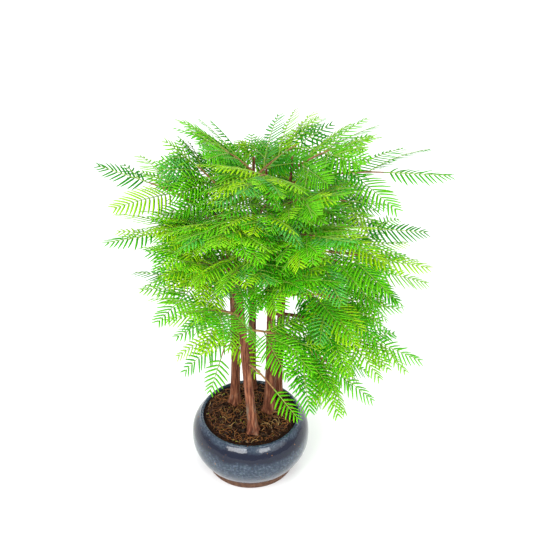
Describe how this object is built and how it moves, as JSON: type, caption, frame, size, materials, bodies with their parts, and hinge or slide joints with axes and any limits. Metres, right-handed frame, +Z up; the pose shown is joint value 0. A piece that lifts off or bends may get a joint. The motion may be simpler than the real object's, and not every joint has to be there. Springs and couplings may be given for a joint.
{
  "type": "dawn redwood bonsai forest in a round pot",
  "caption": "Dawn redwood bonsai forest: slender upright trunks with feathery bright green fronds, in soil in a round blue-grey glazed bowl on a bare clay foot.",
  "frame": {"origin": "middle of the flat underside of the pot's clay foot", "axes": "+Z up, +X to the right and +Y away from the front of the planting, which faces -Y"},
  "size_m": [0.4015, 0.3061, 0.4708],
  "materials": {
    "glaze": "glossy blue-grey glaze, darker and bluer at the shoulder",
    "clay": "unglazed brown clay",
    "soil": "damp fibrous peat",
    "bark": "reddish brown bark with long fibres",
    "foliage": "soft bright green leaflets"
  },
  "bodies": {
    "root": {"bough_left_arch": "bark", "bough_left_long": "bark", "bough_middle_arch": "bark", "bough_middle_front": "bark", "bough_middle_low": "bark", "bough_middle_reach": "bark", "bough_middle_side": "bark", "bough_middle_skirt": "bark", "bough_right_long": "bark", "bough_right_thin": "bark", "foliage_back_face": "foliage", "foliage_back_fan": "foliage", "foliage_back_high": "foliage", "foliage_back_left": "foliage", "foliage_back_low": "foliage", "foliage_back_right": "foliage", "foliage_front_cross": "foliage", "foliage_front_face": "foliage", "foliage_front_high_left": "foliage", "foliage_front_left": "foliage", "foliage_front_low": "foliage", "foliage_front_right": "foliage", "foliage_front_top": "foliage", "foliage_left_arch": "foliage", "foliage_left_behind": "foliage", "foliage_left_drop": "foliage", "foliage_left_face": "foliage", "foliage_left_inner": "foliage", "foliage_left_long": "foliage", "foliage_left_low": "foliage", "foliage_left_shoulder": "foliage", "foliage_left_skirt": "foliage", "foliage_left_top": "foliage", "foliage_middle_arch": "foliage", "foliage_middle_face": "foliage", "foliage_middle_front": "foliage", "foliage_middle_heart": "foliage", "foliage_middle_leader": "foliage", "foliage_middle_low": "foliage", "foliage_middle_reach": "foliage", "foliage_middle_side": "foliage", "foliage_middle_skirt": "foliage", "foliage_middle_top": "foliage", "foliage_right_behind": "foliage", "foliage_right_face": "foliage", "foliage_right_fan": "foliage", "foliage_right_long": "foliage", "foliage_right_low": "foliage", "foliage_right_low_behind": "foliage", "foliage_right_side": "foliage", "foliage_right_skirt": "foliage", "foliage_right_thin": "foliage", "pot": "glaze", "pot_foot": "clay", "soil": "soil", "trunk_back": "bark", "trunk_front": "bark", "trunk_left": "bark", "trunk_middle": "bark", "trunk_right": "bark"}
  },
  "joints": []
}
